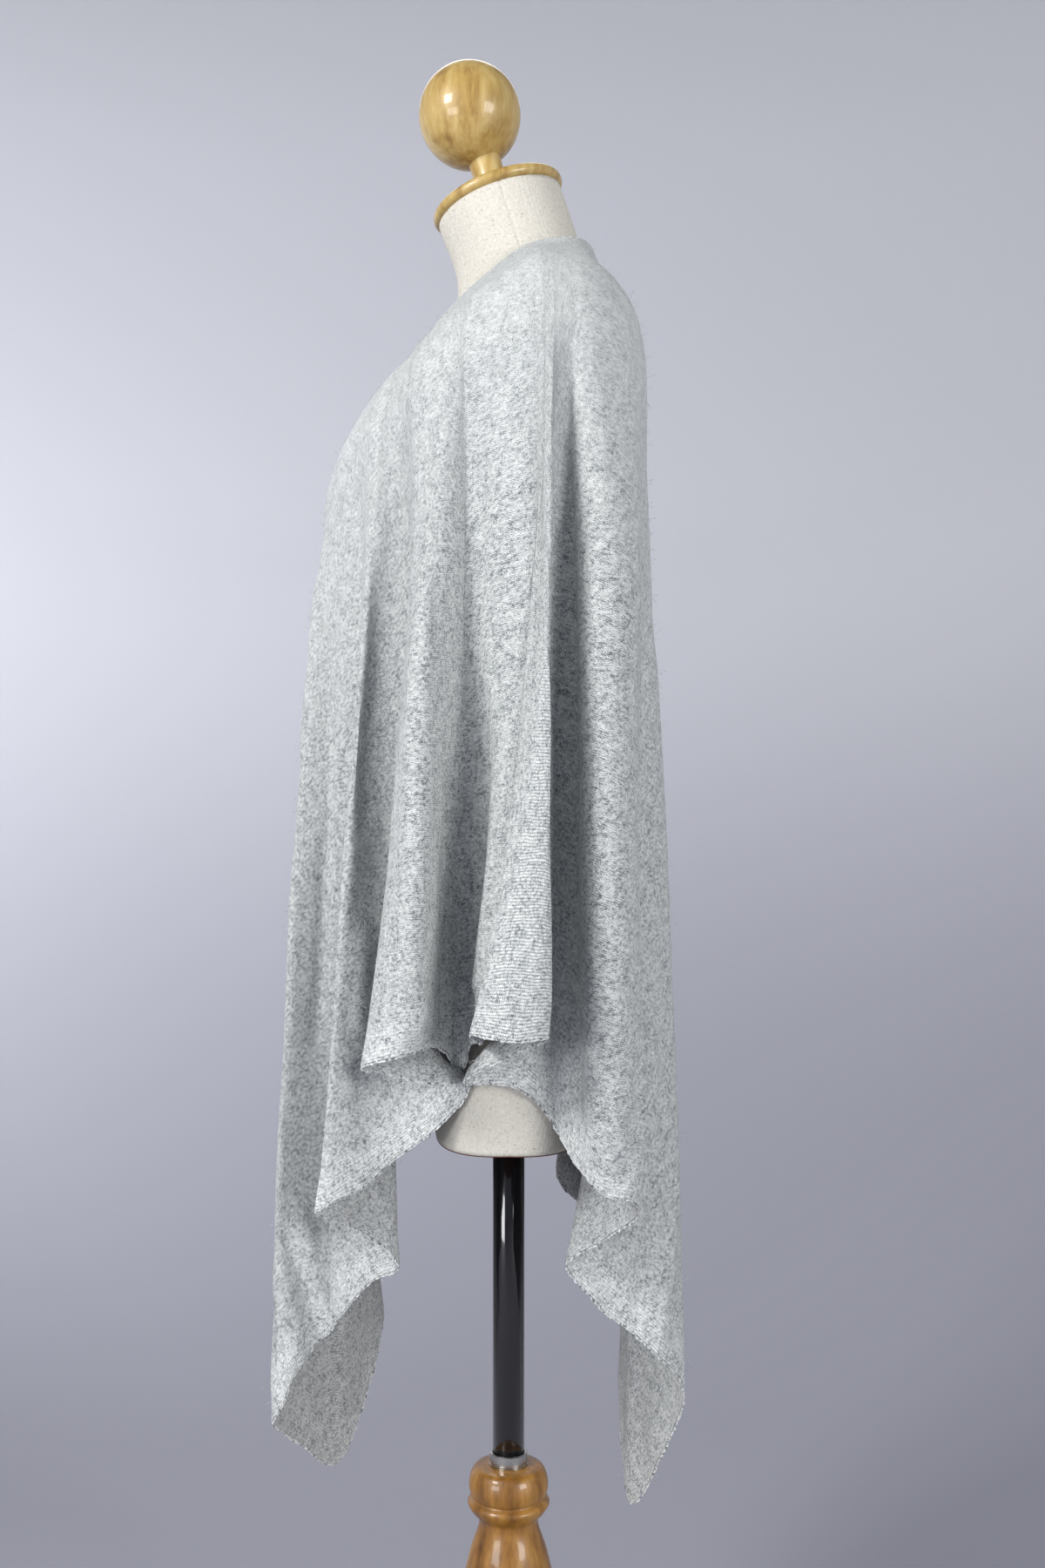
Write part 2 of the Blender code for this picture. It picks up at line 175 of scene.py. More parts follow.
# camera, light and studio
studio = {
    "cameraPlace": (1.19, 0.0, 0.868),  # at chest height, beside the wearer's left arm
    "lens": 34.7,
    "slideX": 16 / 1800,  # as shares of the picture's height
    "slideY": 65 / 1800,
    "paperUnshaded": "#E3E4EA",  # the paper sweep's own colour where it stands up behind, and the same paper darkened by painted shade on the floor
    "paperPaintedShade": "#A3A4AE",
    "paintedShadeTop": 2.2,  # the height above which the paper has no painted shade
    "floorRadius": 1.1,
    "coveRadius": 3.4,
    "coveSteps": 32,
    "wallHeight": 5.0,
    "turnSteps": 120,
    "sunk": 0.0005,  # how far the paper lies under the stand
    "weld": 0.0001,  # points nearer than this become one
    "airColour": "#DEE0E4",
    "airStrength": 0.28,
}

Lamp = namedtuple("Lamp", "name place aim width height watts colour")
lamps = [Lamp(*row) for row in (
    ("keySoftbox", (1.38, -1.50, 2.0), (0.0, 0.0, 1.0), 0.6, 0.6, 40.0, "#FFFEFC"),
    ("lowSoftbox", (2.15, -1.75, 0.9), (0.0, 0.0, 0.72), 1.1, 0.7, 27.0, "#FFFFFF"),
    ("sideFill", (2.3, 2.2, 1.3), (0.0, 0.05, 0.7), 1.2, 1.2, 62.0, "#FFFEFC"),
    ("highBackFill", (-2.5, -0.2, 3.4), (0.0, 0.0, 0.9), 1.3, 1.3, 17.0, "#FFFFFF"),
    ("backdropWash", (-1.4, -2.0, 1.9), (-3.9, -1.4, 1.5), 1.8, 1.8, 45.0, "#FAFBFF"),
)]


def makeCamera():
    data = bpy.data.cameras.new("camera")
    data.lens = studio["lens"]
    data.shift_x = studio["slideX"]
    data.shift_y = studio["slideY"]
    scene.camera = addObject("camera", data)
    scene.camera.location = studio["cameraPlace"]
    scene.camera.rotation_euler = (math.radians(90), 0, math.radians(90))


def makeLamps():
    for lamp in lamps:
        data = bpy.data.lights.new(lamp.name, "AREA")
        data.shape = "RECTANGLE"
        data.size = lamp.width
        data.size_y = lamp.height
        data.energy = lamp.watts
        data.color = linear(lamp.colour)[:3]
        thing = addObject(lamp.name, data)
        thing.location = lamp.place
        aim = Vector(lamp.aim) - Vector(lamp.place)
        thing.rotation_euler = aim.to_track_quat("-Z", "Y").to_euler()
    world = bpy.data.worlds.new("studio air")
    scene.world = world
    world.use_nodes = True
    tree = world.node_tree
    glow = {"Color": linear(studio["airColour"]), "Strength": studio["airStrength"]}
    setNode(tree, tree.nodes["Background"], glow, {})


def makeSweep():
    # a round paper sweep: a flat floor that rises in one long curve into a wall, painted darker low down as
    # shade
    material, add, setShader, place = newMaterial("matt backdrop paper with painted shade low down")
    # painted shade: the paper's colour darkens from a set height down to the floor
    height = add("SeparateXYZ", links={0: place}).outputs["Z"]
    paintedShadeFade = add("MapRange", {"interpolation_type": "SMOOTHSTEP", "range": (0.0, studio["paintedShadeTop"])},
               {"Value": height})
    tones = [(0.0, studio["paperPaintedShade"]), (1.0, studio["paperUnshaded"])]
    tone = add("ValToRGB", {"stops": tones}, {"Fac": paintedShadeFade})
    setShader({"Roughness": 0.95, "Specular IOR Level": 0.1}, {"Base Color": tone})
    floorEnd, cove, sunk = studio["floorRadius"], studio["coveRadius"], studio["sunk"]
    profile = [(0.0, -sunk), (floorEnd, -sunk)]
    for turn in np.linspace(0, math.pi / 2, studio["coveSteps"] + 1)[1:]:
        profile.append((floorEnd + cove * math.sin(turn), cove * (1 - math.cos(turn)) - sunk))
    profile.append((floorEnd + cove, studio["wallHeight"] - sunk))
    mesh = spinProfile("studioSweep", profile, False, studio["turnSteps"])
    addObject("studioSweep", mesh, material)


makeCamera()
makeLamps()
makeSweep()
scene.view_settings.view_transform = "Standard"
print("studio ready")

knit = {
    "rowPitch": 0.00135,  # one course of stitches
    "stitchPitch": 0.0015,  # one wale
    "purlPitch": 1.25,  # how much wider both look on the wrong side
    "coarsePitch": 0.0022,  # the looser courses that show on the strip
    "stripHalf": 0.026,
    "stripEdge": 0.006,
    "endBand": 0.012,  # rib-like band along the two short ends
    "bandEdge": 0.0008,
    "bandPitch": 0.0024,
    "cutWidth": 0.77,  # half the rectangle's long side
    "cutLength": 0.66,
    "neckHalf": 0.24,  # how much of the top edge stays open on each side of the fold
    "foldAt": 0.0895,  # the fold's distance in front of the strip's middle
    "light": "#DDDFDE",  # the pale fibres
    "middle": "#B7BBBB",
    "dark": "#62676C",  # the grey ones carded in with them
    "gap": "#5C6162",  # painted shade, looking down between two rows
    # noise on the flat cut: how many to the metre across and up, detail, roughness
    "noises": {"wander": (45, 45, 1, 0.5), "wobble": (300, 300, 1, 0.5), "clouds": (135, 95, 3, 0.65),
               "flecks": (400, 430, 3, 0.75), "fibres": (1500, 1500, 1, 0.6), "lint": (330, 330, 2, 0.8)},
    "shares": (0.21, 0.46, 0.33),  # of the clouds, flecks and fibres
    # what changes with the height above the hem: from, to, the value before and after
    "heights": {"loose": (0.42, 0.25, 0.0, 0.85), "hem": (0.04, 0.01, 0.0, 0.85),
                # gaps and purlGaps set how strong the painted shade between rows is
                "calm": (0.34, 0.54, 0.0, 0.5), "gaps": (0.36, 0.54, 0.85, 0.28),
                "purlGaps": (0.36, 0.54, 0.55, 0.28)},
}


def knitMaterial(name, wrongSide, bumpDepth):
    # matt brushed wool: pale and grey fibres carded together, in fine soft rows with a light bloom
    material, add, setShader, flat = newMaterial(name, "cut")
    noises = {}
    for use, (across, upwards, detail, roughness) in knit["noises"].items():
        scaled = add("Mapping", {"Scale": (across, upwards, 1.0)}, {"Vector": flat})
        settings = {"noise_dimensions": "2D", "Scale": 1.0, "Detail": detail, "Roughness": roughness}
        noises[use] = add("TexNoise", settings, {"Vector": scaled})

    # soft yarn lets the rows wander
    swayed = flat
    for source, reach in ((noises["wander"], (0, 0.0035, 0)),
                          (noises["wobble"].outputs["Color"], (0.0003, 0.0003, 0))):
        swayed = add("VectorMath", {"operation": "MULTIPLY_ADD", 1: reach}, {0: source, 2: swayed})
    along, up = add("SeparateXYZ", links={0: swayed}).outputs[:2]
    heights = {}
    for use, limits in knit["heights"].items():
        heights[use] = add("MapRange", {"range": limits}, {"Value": up})

    # the stitches: slanting legs on the right side, staggered beads on the wrong side
    wider = knit["purlPitch"] if wrongSide else 1.0
    pitches = (knit["stitchPitch"] * wider, knit["rowPitch"] * wider, 1.0)
    counted = add("VectorMath", {"operation": "DIVIDE", 1: pitches}, {0: swayed})
    wale, row = add("SeparateXYZ", links={0: counted}).outputs[:2]
    if wrongSide:
        whole = add("Math", {"operation": "FLOOR"}, {0: row})
        turn = add("Math", {"operation": "MULTIPLY_ADD", 1: 0.5}, {0: whole, 2: wale})
        phase = row
    else:
        turn = add("Math", {"operation": "PINGPONG", 1: 0.5}, {0: wale})
        phase = add("Math", {"operation": "MULTIPLY_ADD", 1: 0.9}, {0: turn, 2: row})
    phases = add("CombineXYZ", links={0: turn, 1: phase, 2: up})
    turns = (math.tau, math.tau, math.tau / knit["bandPitch"])
    phases = add("VectorMath", {"operation": "MULTIPLY", 1: turns}, {0: phases})
    waves = add("VectorMath", {"operation": "SINE"}, {0: phases})
    side, swing, ribSwing = add("SeparateXYZ", links={0: waves}).outputs
    ridge = add("MapRange", {"range": (-1.0, 1.0)}, {"Value": swing})
    lowest = -1.0 if wrongSide else 0.0
    waist = add("MapRange", {"range": (lowest, 1.0, 0.45, 1.0)}, {"Value": side})
    loops = add("Math", {"operation": "MULTIPLY"}, {0: ridge, 1: waist})

    # looser, plainer courses down the strip and beside the hem, crossed by their wales
    turns = (math.tau / knit["stitchPitch"], math.tau / knit["coarsePitch"], 0.0)
    phases = add("VectorMath", {"operation": "MULTIPLY", 1: turns}, {0: swayed})
    waves = add("VectorMath", {"operation": "SINE"}, {0: phases})
    crossed = add("VectorMath", {"operation": "DOT_PRODUCT", 1: (0.6, 1.0, 0.0)}, {0: waves})
    coarse = add("MapRange", {"range": (-1.6, 1.6)}, {"Value": crossed.outputs["Value"]})
    aside = add("Math", {"operation": "ABSOLUTE"}, {0: along})
    half, edge = knit["stripHalf"], knit["stripEdge"]
    onStrip = add("MapRange", {"range": (half + edge, half - edge)},
                  {"Value": aside, "To Max": heights["loose"]})
    plain = add("Math", {"operation": "MAXIMUM"}, {0: onStrip, 1: heights["hem"]})
    loops = add("Mix", {"data_type": "FLOAT"}, {0: plain, 2: loops, 3: coarse})

    # the band along each short end has short ribs instead of stitches
    fromFold = add("Math", {"operation": "SUBTRACT", 1: knit["foldAt"]}, {0: along})
    away = add("Math", {"operation": "ABSOLUTE"}, {0: fromFold})
    start, edge = knit["cutWidth"] - knit["endBand"], knit["bandEdge"]
    inBand = add("MapRange", {"range": (start - edge, start + edge)}, {"Value": away})
    ribs = add("MapRange", {"range": (-1.0, 1.0, 0.1, 0.9)}, {"Value": ribSwing})
    height = add("Mix", {"data_type": "FLOAT"}, {0: inBand, 2: loops, 3: ribs})

    # wide clouds, small dark flecks and single fibres, all calmer near the neck
    carded = add("CombineXYZ", links={0: noises["clouds"], 1: noises["flecks"], 2: noises["fibres"]})
    mixed = add("VectorMath", {"operation": "DOT_PRODUCT", 1: knit["shares"]}, {0: carded})
    mixed = add("Mix", {"data_type": "FLOAT", 3: 0.515}, {0: heights["calm"], 2: mixed.outputs["Value"]})
    stops = [(0.38, knit["dark"]), (0.48, knit["middle"]), (0.58, knit["light"])]
    colour = add("ValToRGB", {"stops": stops}, {"Fac": mixed})

    # painted shade between the rows, which loose fibres hide in places, most of all near the neck; on the
    # strip the looser rows show more of it, partly as see-through cloth
    bare = add("MapRange", {"range": (0.40, 0.62, 0.25, 0.80)}, {"Value": noises["lint"]})
    bare = add("Math", {"operation": "MULTIPLY_ADD", 1: 0.55}, {0: onStrip, 2: bare})
    # painted shade: the gap colour darkens the knit where its stitch height is low
    gap = add("MapRange", {"range": (0.08, 0.50, 1.0, 0.0)}, {"Value": height})
    for factor in (heights["purlGaps" if wrongSide else "gaps"], bare):
        gap = add("Math", {"operation": "MULTIPLY"}, {0: gap, 1: factor})
    shaded = add("Mix", {"data_type": "RGBA", 7: linear(knit["gap"])}, {0: gap, 6: colour})
    # painted shade: the wrong side, which faces inwards, is painted 15% darker than the face
    shadeScaled = add("VectorMath", {"operation": "SCALE", "Scale": 0.85 if wrongSide else 1.0},
                {0: shaded.outputs[2]})
    bump = add("Bump", {"Strength": 1.0, "Distance": bumpDepth}, {"Height": height})
    setShader({"Roughness": 0.95, "Specular IOR Level": 0.15, "Sheen Weight": 0.12, "Sheen Roughness": 0.5},
              {"Base Color": shadeScaled, "Normal": bump})
    return material


def yarnMaterial():
    # the same yarn where single strands stand out: bind-off loops, seam stitches and loose fibres
    material, add, setShader, place = newMaterial("heather wool yarn")
    mottle = add("TexNoise", {"Scale": 420.0, "Detail": 3.0}, {"Vector": place})
    stops = [(0.36, knit["dark"]), (0.47, knit["middle"]), (0.60, knit["light"])]
    colour = add("ValToRGB", {"stops": stops}, {"Fac": mottle})
    setShader({"Roughness": 0.95, "Specular IOR Level": 0.15, "Sheen Weight": 0.3}, {"Base Color": colour})
    return material


def linenMaterial():
    # unbleached linen canvas stretched on the form: fine plain weave with small brown slubs, quite matt
    material, add, setShader, place = newMaterial("unbleached linen canvas")
    threads, slubs = [
        add("TexNoise", {"Scale": scale, "Detail": detail, "Roughness": 0.7}, {"Vector": place})
        for scale, detail in ((1200.0, 2.0), (520.0, 4.0))]
    stops = [(0.30, "#989080"), (0.37, "#C6C2B7"), (0.62, "#D5D2C9")]
    base = add("ValToRGB", {"stops": stops}, {"Fac": slubs})
    shade = add("MapRange", {"range": (0.0, 1.0, 0.88, 1.06)}, {"Value": threads})
    shaded = add("VectorMath", {"operation": "SCALE"}, {0: base, "Scale": shade})
    # a russet binding turned under at the foot
    height = add("SeparateXYZ", links={0: place}).outputs["Z"]
    bound = add("MapRange", {"range": (0.6462, 0.6455)}, {"Value": height})
    dressed = add("Mix", {"data_type": "RGBA", 7: linear("#6B4536")}, {0: bound, 6: shaded})
    # plain weave of 0.7 mm threads, drawn from two crossed waves
    across, upwards = [
        add("TexWave", {"bands_direction": way, "Scale": 230.0, "Distortion": 1.5, "Detail": 1.0},
            {"Vector": place}).outputs["Fac"] for way in ("X", "Z")]
    weave = add("Math", {"operation": "ADD"}, {0: across, 1: upwards})
    bump = add("Bump", {"Strength": 0.5, "Distance": 0.0002}, {"Height": weave})
    setShader({"Roughness": 0.9, "Specular IOR Level": 0.2},
              {"Base Color": dressed.outputs[2], "Normal": bump})
    return material


def woodMaterial(name, grain, stops):
    # turned beech under clear lacquer: long fine grain, small flecks, a wet-looking coat
    material, add, setShader, place = newMaterial(name)
    stretched = add("Mapping", {
        "Rotation": (math.radians(18), 0, 0), "Scale": (1.0, 1.0, 0.15)}, {"Vector": place})
    figure, lines = [
        add("TexNoise", {"Scale": scale, "Detail": 4.0, "Roughness": 0.6}, {"Vector": stretched})
        for scale in (grain * 0.4, grain)]
    mixed = add("Mix", {"data_type": "FLOAT", 0: 0.45}, {2: figure, 3: lines})
    colour = add("ValToRGB", {"stops": stops}, {"Fac": mixed})
    bump = add("Bump", {"Strength": 0.2, "Distance": 0.0002}, {"Height": lines})
    setShader({"Roughness": 0.42, "Coat Weight": 0.35, "Coat Roughness": 0.07},
              {"Base Color": colour, "Normal": bump})
    return material


def poleMaterial():
    # steel tube in black gloss enamel, with the faintest orange peel and a little dust
    material, add, setShader, place = newMaterial("black gloss enamel")
    peel = add("TexNoise", {"Scale": 260.0, "Detail": 1.0}, {"Vector": place})
    dust = add("MapRange", {"range": (0.0, 1.0, 0.07, 0.16)}, {"Value": peel})
    bump = add("Bump", {"Strength": 0.08, "Distance": 0.0002}, {"Height": peel})
    setShader({"Base Color": linear("#0E0E11"), "Coat Weight": 0.6}, {"Roughness": dust, "Normal": bump})
    return material


def chromeMaterial():
    # polished plating with hair-fine wiping marks
    material, add, setShader, place = newMaterial("polished chrome plate")
    wiped = add("Mapping", {"Scale": (1.0, 1.0, 9.0)}, {"Vector": place})
    marks = add("TexNoise", {"Scale": 500.0, "Detail": 2.0}, {"Vector": wiped})
    rough = add("MapRange", {"range": (0.0, 1.0, 0.16, 0.34)}, {"Value": marks})
    setShader({"Base Color": linear("#B9B7B1"), "Metallic": 1.0}, {"Roughness": rough})
    return material


knitFace = knitMaterial("heather wool stockinette face", False, 0.00022)
knitBack = knitMaterial("heather wool stockinette wrong side", True, 0.0004)
yarn = yarnMaterial()
linen = linenMaterial()
paleWood = woodMaterial("honey lacquered beech", 160.0, [
    (0.36, "#8E6D36"), (0.50, "#B09354"), (0.64, "#C2AA70")])
darkWood = woodMaterial("amber lacquered beech", 120.0, [
    (0.34, "#54330F"), (0.50, "#8B5F22"), (0.66, "#AC803A")])
blackEnamel = poleMaterial()
chrome = chromeMaterial()
print("finishes ready")

# a ring round the form or the cloth: where its sides, front and back lie, and how square it is
BodyRing = namedtuple("BodyRing", "name halfWidth sideY sideZ frontY frontZ backY backZ power")

torsoRings = inMetres(BodyRing, 7, (
    ("neck top", 50, -7, 1366, -54.5, 1350.6, 40.5, 1381.4, 2.0),
    ("neck middle", 50, 8, 1320, -40, 1305, 56, 1335, 2.0),
    ("neck base", 59, 12, 1301, -48, 1260, 61, 1314, 2.0),
    ("yoke", 96, 15, 1291, -70, 1217, 76, 1288, 2.0),
    ("shoulder", 141, 18, 1273, -110, 1145, 94, 1246, 2.0),
    ("shoulder tip", 176.5, 19, 1249, -133.5, 1119, 100.5, 1216, 2.25),
    ("armhole", 188.5, 19, 1214, -133.5, 1093, 100.5, 1178, 2.6),
    ("shoulder cap", 183, 16, 1178, -129, 1066, 97, 1146, 2.6),
    ("chest", 162, 10, 1115, -114, 1040, 90, 1098, 2.5),
    ("under bust", 136, 2, 1030, -88, 998, 78, 1024, 2.4),
    ("waist", 115, -1, 945, -69, 940, 64, 944, 2.3),
    ("high hip", 124, -1, 860, -70, 860, 67, 860, 2.4),
    ("hip", 131, 0, 770, -70, 770, 68, 770, 2.6),
    ("low hip", 131, 0, 700, -64, 700, 63, 700, 2.8),
    ("foot", 127, 0, 645, -56, 645, 56, 645, 2.9),
))
torsoFoot = torsoRings[-1].sideZ
shoulderSlope = 1.35  # 1 is a sharp ridge along the shoulders, 2 a round arch

form = {
    "steps": 432,
    "levels": 190,
    "seams": (0.0, 58.0, 122.0, 180.0, 238.0, 302.0),  # side and princess seams, degrees from the left
    "seamDepth": 0.0007,
    "seamTurn": 0.024,  # half a seam's width, in radians
    "turnedEdge": ((0.0015, 0.0003), (0.004, 0.0)),  # inward and up, over a thin board in the foot
}


def ringPoints(ring, angles):
    # points of a ring in the given directions: 0 is the wearer's left, 90 degrees the front
    across, forward = np.cos(angles), np.sin(angles)
    reach = np.where(forward > 0, ring.sideY - ring.frontY, ring.backY - ring.sideY)
    sides = np.abs(across / ring.halfWidth) ** ring.power
    ends = np.abs(forward / reach) ** ring.power
    radius = (sides + ends) ** (-1 / ring.power)
    tilt = (ring.backZ - ring.frontZ) / 2
    bend = (ring.frontZ + ring.backZ) / 2 - ring.sideZ
    height = ring.sideZ - tilt * forward + bend * np.abs(forward) ** shoulderSlope
    return np.stack([radius * across, ring.sideY - radius * forward, height], axis=1)


def ringsBetween(rings, count):
    knots = np.arange(len(rings))
    table = [ring[1:] for ring in rings]
    return [BodyRing("between", *row) for row in spline(knots, table, np.linspace(0, knots[-1], count))]


def skin(name, rings, material):
    # a closed surface through a stack of rings from the top down, with a cap on both ends
    index = np.arange(len(rings) * len(rings[0])).reshape(len(rings), -1)
    after = np.roll(index, -1, axis=1)
    faces = quads(index[:-1], index[1:], after[1:], after[:-1]).tolist()
    faces += [index[0].tolist(), index[-1, ::-1].tolist()]
    mesh = bpy.data.meshes.new(name)
    mesh.from_pydata(np.concatenate(rings).tolist(), [], faces)
    work = bmesh.new()
    work.from_mesh(mesh)
    bmesh.ops.recalc_face_normals(work, faces=work.faces)
    work.to_mesh(mesh)
    work.free()
    mesh.shade_smooth()
    return addObject(name, mesh, material)


def outward(points, middleY):
    # level directions from a ring's middle to its points
    out = (points - (0.0, middleY, 0.0)) * (1, 1, 0)
    return out / np.linalg.norm(out, axis=1, keepdims=True)


def makeTorso():
    angles = np.linspace(0, math.tau, form["steps"], endpoint=False)
    signed = (angles + math.pi) % math.tau - math.pi
    groove = np.zeros_like(angles)
    for seam in form["seams"]:
        apart = (angles - math.radians(seam) + math.pi) % math.tau - math.pi
        groove += np.exp(-(apart / form["seamTurn"]) ** 2)
    sunk = (groove * form["seamDepth"])[:, None]
    rings = []
    for ring in ringsBetween(torsoRings, form["levels"]):
        points = ringPoints(ring, signed)
        rings.append(points - outward(points, ring.sideY) * sunk)
    foot = rings[-1]
    for inward, rise in form["turnedEdge"]:
        rings.append(foot - outward(foot, 0.0) * inward + (0, 0, rise))
    placePiece(skin("linenTorso", rings, linen), "linen", "torso")


makeTorso()
print("torso made")

turning = {
    "steps": 96,
    "gap": 0.0003,  # between two turned pieces
    "neckTilt": math.radians(18.0),
    "neckTop": (0.0, -0.0070, 1.3660),
    "capRadius": 0.0528,
    "capThickness": 0.0090,
    "capFlats": (0.002, 0.030),  # radii of the points on its flat faces
    "capSteps": 13,
    "ballRadius": 0.040,
    "ballSteps": 56,
    "ballStart": 0.01,  # in radians from its pole
    "stubRadius": 0.013,
    "stubHeight": 0.0265,
    # how much wider the stub is at each height above the cap
    "stubFlare": ((-0.0006, 0.020), (-0.0004, 0.010), (0.0, 0.004), (0.0013, 0.0012), (0.0015, 0.0)),
    "poleRadius": 0.0125,
    "poleBevel": 0.0006,
    "collarRadius": 0.0148,
    # how much wider the collar is at each height above the stand
    "collarSide": ((0.0004, 0.0), (0.0004, 0.0008), (0.0, 0.0012), (0.0, 0.0089), (-0.0006, 0.0095)),
    "collarSharp": math.radians(35),  # edges that turn by more than this stay sharp
    "sharp": math.radians(50),
    "baseTop": 0.378,
}

Turn = namedtuple("Turn", "name radius height")
standOutline = inMetres(Turn, 2, (
    ("top", 17.5, 378),
    ("upper ring top", 27, 375.5),
    ("upper ring side", 31.2, 364),
    ("upper ring foot", 29.5, 354.5),
    ("groove", 28.5, 353.5),
    ("lower ring side", 32.2, 349),
    ("lower ring foot", 29, 342.5),
    ("throat", 23.2, 335),
    ("vase shoulder", 30.5, 309),
    ("vase belly", 40, 264),
    ("vase side", 41, 230),
    ("vase foot", 29, 165),
    ("waist", 22.5, 132),
    ("waist fillet", 24, 118),
    ("bead top", 35, 113),
    ("bead", 40, 102),
    ("bead foot", 35, 91.5),
    ("foot neck", 42, 78),
    ("foot slope", 90, 48),
    ("foot shoulder", 155, 33),
    ("foot edge top", 179, 26),
    ("foot edge", 185, 16),
    ("foot edge low", 183, 4),
    ("underside", 181, 0),
))


def smoothOutline(outline, each=5):
    # rounds an outline by a curve through its points, at even steps between them
    points = np.array(outline, float)
    knots = runningSum(np.sqrt(stepLengths(points)))
    steps = (knots[:-1, None] + np.diff(knots)[:, None] * np.arange(each) / each).ravel()
    return spline(knots, points, np.append(steps, knots[-1]))


def turned(name, outline, material, base=(0, 0, 0), tilt=0.0):
    # spins an outline of radius and height round an upright axis, then leans it and sets it on its base
    angles = np.linspace(0, math.tau, turning["steps"], endpoint=False)
    lean = np.array([[1, 0, 0], [0, math.cos(tilt), -math.sin(tilt)], [0, math.sin(tilt), math.cos(tilt)]])
    circle = np.stack([np.cos(angles), np.sin(angles), np.zeros_like(angles)], axis=1)
    rings = [(circle * radius + (0, 0, height)) @ lean.T + base for radius, height in outline]
    thing = skin(name, rings, material)
    thing.data.set_sharp_from_angle(angle=turning["sharp"])
    return thing


def makeNeckPieces():
    base, tilt, low = turning["neckTop"], turning["neckTilt"], turning["gap"]
    edge = turning["capThickness"] / 2
    cap = [(radius, low + edge * 2) for radius in turning["capFlats"]]
    cap += [(turning["capRadius"] - edge + edge * math.cos(t), low + edge + edge * math.sin(t))
            for t in np.linspace(math.pi / 2, -math.pi / 2, turning["capSteps"])]
    cap += [(radius, low) for radius in reversed(turning["capFlats"])]
    placePiece(turned("neckCap", cap, paleWood, base, tilt), "pale_wood", "neck_cap")
    foot = turning["capThickness"] + 2 * low
    size = turning["ballRadius"]
    centre = foot + turning["stubHeight"] + size
    meeting = math.pi - math.asin(turning["stubRadius"] / size)
    ball = [(size * math.sin(t), centre + size * math.cos(t))
            for t in np.linspace(turning["ballStart"], meeting, turning["ballSteps"])]
    stub = [(turning["stubRadius"] + wider, foot + height) for wider, height in turning["stubFlare"]]
    placePiece(turned("ballFinial", ball + stub, paleWood, base, tilt), "pale_wood", "ball_finial")


def makeStand():
    foot = turning["baseTop"] + turning["gap"]
    top = torsoFoot - turning["gap"]
    radius, bevel = turning["poleRadius"], turning["poleBevel"]
    pole = [(radius - bevel, top), (radius, top - bevel), (radius, foot + bevel), (radius - bevel, foot)]
    placePiece(turned("steelPole", pole, blackEnamel), "pole_paint", "pole")
    outline = smoothOutline([turn[1:] for turn in standOutline])
    placePiece(turned("turnedStand", outline, darkWood), "dark_wood", "stand")
    inside = radius + turning["gap"]
    section = [(turning["collarRadius"] + wider, foot + height) for wider, height in turning["collarSide"]]
    section = [(inside, foot), *section, (inside, section[-1][1])]
    mesh = spinProfile("chromeCollar", section, True, turning["steps"])
    mesh.set_sharp_from_angle(angle=turning["collarSharp"])
    placePiece(addObject("chromeCollar", mesh, chrome), "chrome", "pole_collar")


makeNeckPieces()
makeStand()
print("neck pieces and stand made")

# where the middle of the cloth lies on the neck, the shoulders and the chest
clothRings = inMetres(BodyRing, 7, (
    ("neckline", 64, 12, 1308, -60, 1260, 63.5, 1328, 2.0),
    ("yoke", 100, 15, 1295, -76, 1224, 81, 1293, 2.0),
    ("shoulder", 145, 18, 1277, -114, 1152, 98, 1251, 2.0),
    ("shoulder tip", 180, 19, 1253, -137, 1125, 104, 1220, 2.25),
    ("hanging edge", 192, 19, 1218, -137, 1099, 104, 1182, 2.6),
))

